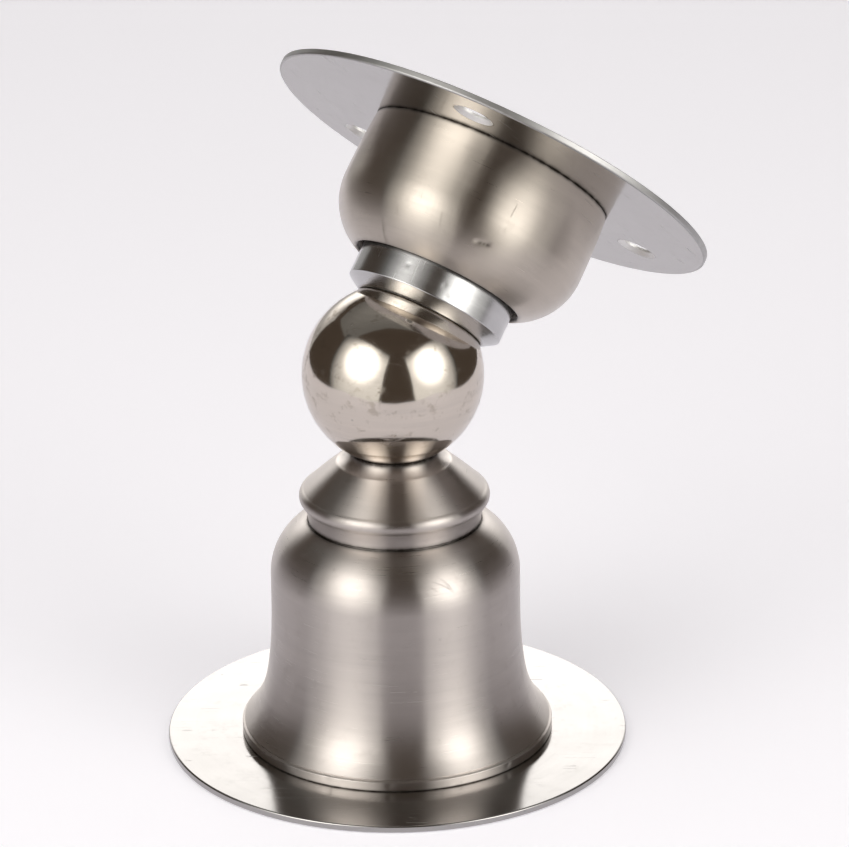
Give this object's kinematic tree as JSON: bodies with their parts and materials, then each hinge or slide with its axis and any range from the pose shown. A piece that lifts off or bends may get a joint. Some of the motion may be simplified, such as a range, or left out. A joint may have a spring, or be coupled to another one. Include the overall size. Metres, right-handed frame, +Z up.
{
  "type": "floor door holder",
  "caption": "Magnetic floor door holder: a steel ball on a bell-shaped floor post and a door unit whose sprung magnet cup grips the ball and swivels on it.",
  "frame": {"origin": "centre of the floor plate's underside, on the floor", "axes": "+Z up along the floor post's axis; the door unit leans back and to the right, towards +X and +Y"},
  "size_m": [0.0585, 0.059, 0.0772],
  "materials": {
    "satin_steel": "satin brushed stainless steel, fine circular lines",
    "plate_steel": "stainless sheet, half polished",
    "ball_steel": "polished nickel-plated steel",
    "pole_steel": "machined bright zinc-plated steel",
    "zinc_steel": "zinc-plated steel, satin",
    "spring_steel": "drawn spring wire, oiled",
    "magnet_nickel": "nickel-plated magnet, smooth",
    "spacer_plastic": "black moulded plastic, matte",
    "bumper_rubber": "black rubber, matte"
  },
  "bodies": {
    "floor_unit": {"floor_plate": "plate_steel", "core_post": "zinc_steel", "bell": "satin_steel", "ball_stud": "zinc_steel", "plain_washer": "zinc_steel", "lock_washer": "zinc_steel", "jam_nut": "zinc_steel", "collar": "satin_steel"},
    "ball": {"ball": "ball_steel"},
    "magnet_head": {"pole_cup": "pole_steel", "magnet": "magnet_nickel", "spacer_ring": "spacer_plastic", "retaining_ring": "spring_steel", "guide_pin": "zinc_steel", "bumper": "bumper_rubber"},
    "spring": {"buffer_spring": "spring_steel"},
    "door_unit": {"door_plate": "plate_steel", "cup": "satin_steel", "cup_ring": "zinc_steel", "ring_rivets": "zinc_steel", "guide_tube": "zinc_steel"}
  },
  "joints": [
    {"name": "ball_turn", "type": "hinge", "parent": "floor_unit", "child": "ball", "pos_m": [0, 0, 0.0416], "axis": [0, 0, 1], "continuous": true},
    {"name": "catch_tilt", "type": "hinge", "parent": "ball", "child": "magnet_head", "pos_m": [0, 0, 0.0416], "axis": [-0.7361, 0.6769, 0], "range_deg": [-129.5, 50.5]},
    {"name": "catch_spin", "type": "hinge", "parent": "magnet_head", "child": "spring", "pos_m": [0.00861, 0.00936, 0.05703], "axis": [0.4305, 0.4682, 0.7716], "continuous": true},
    {"name": "buffer_press", "type": "slide", "parent": "spring", "child": "door_unit", "axis": [-0.4305, -0.4682, -0.7716], "range_m": [0, 0.003], "stiffness_N_per_m": 1000, "springref_m": -0.004, "deforming": ["buffer_spring"]}
  ]
}
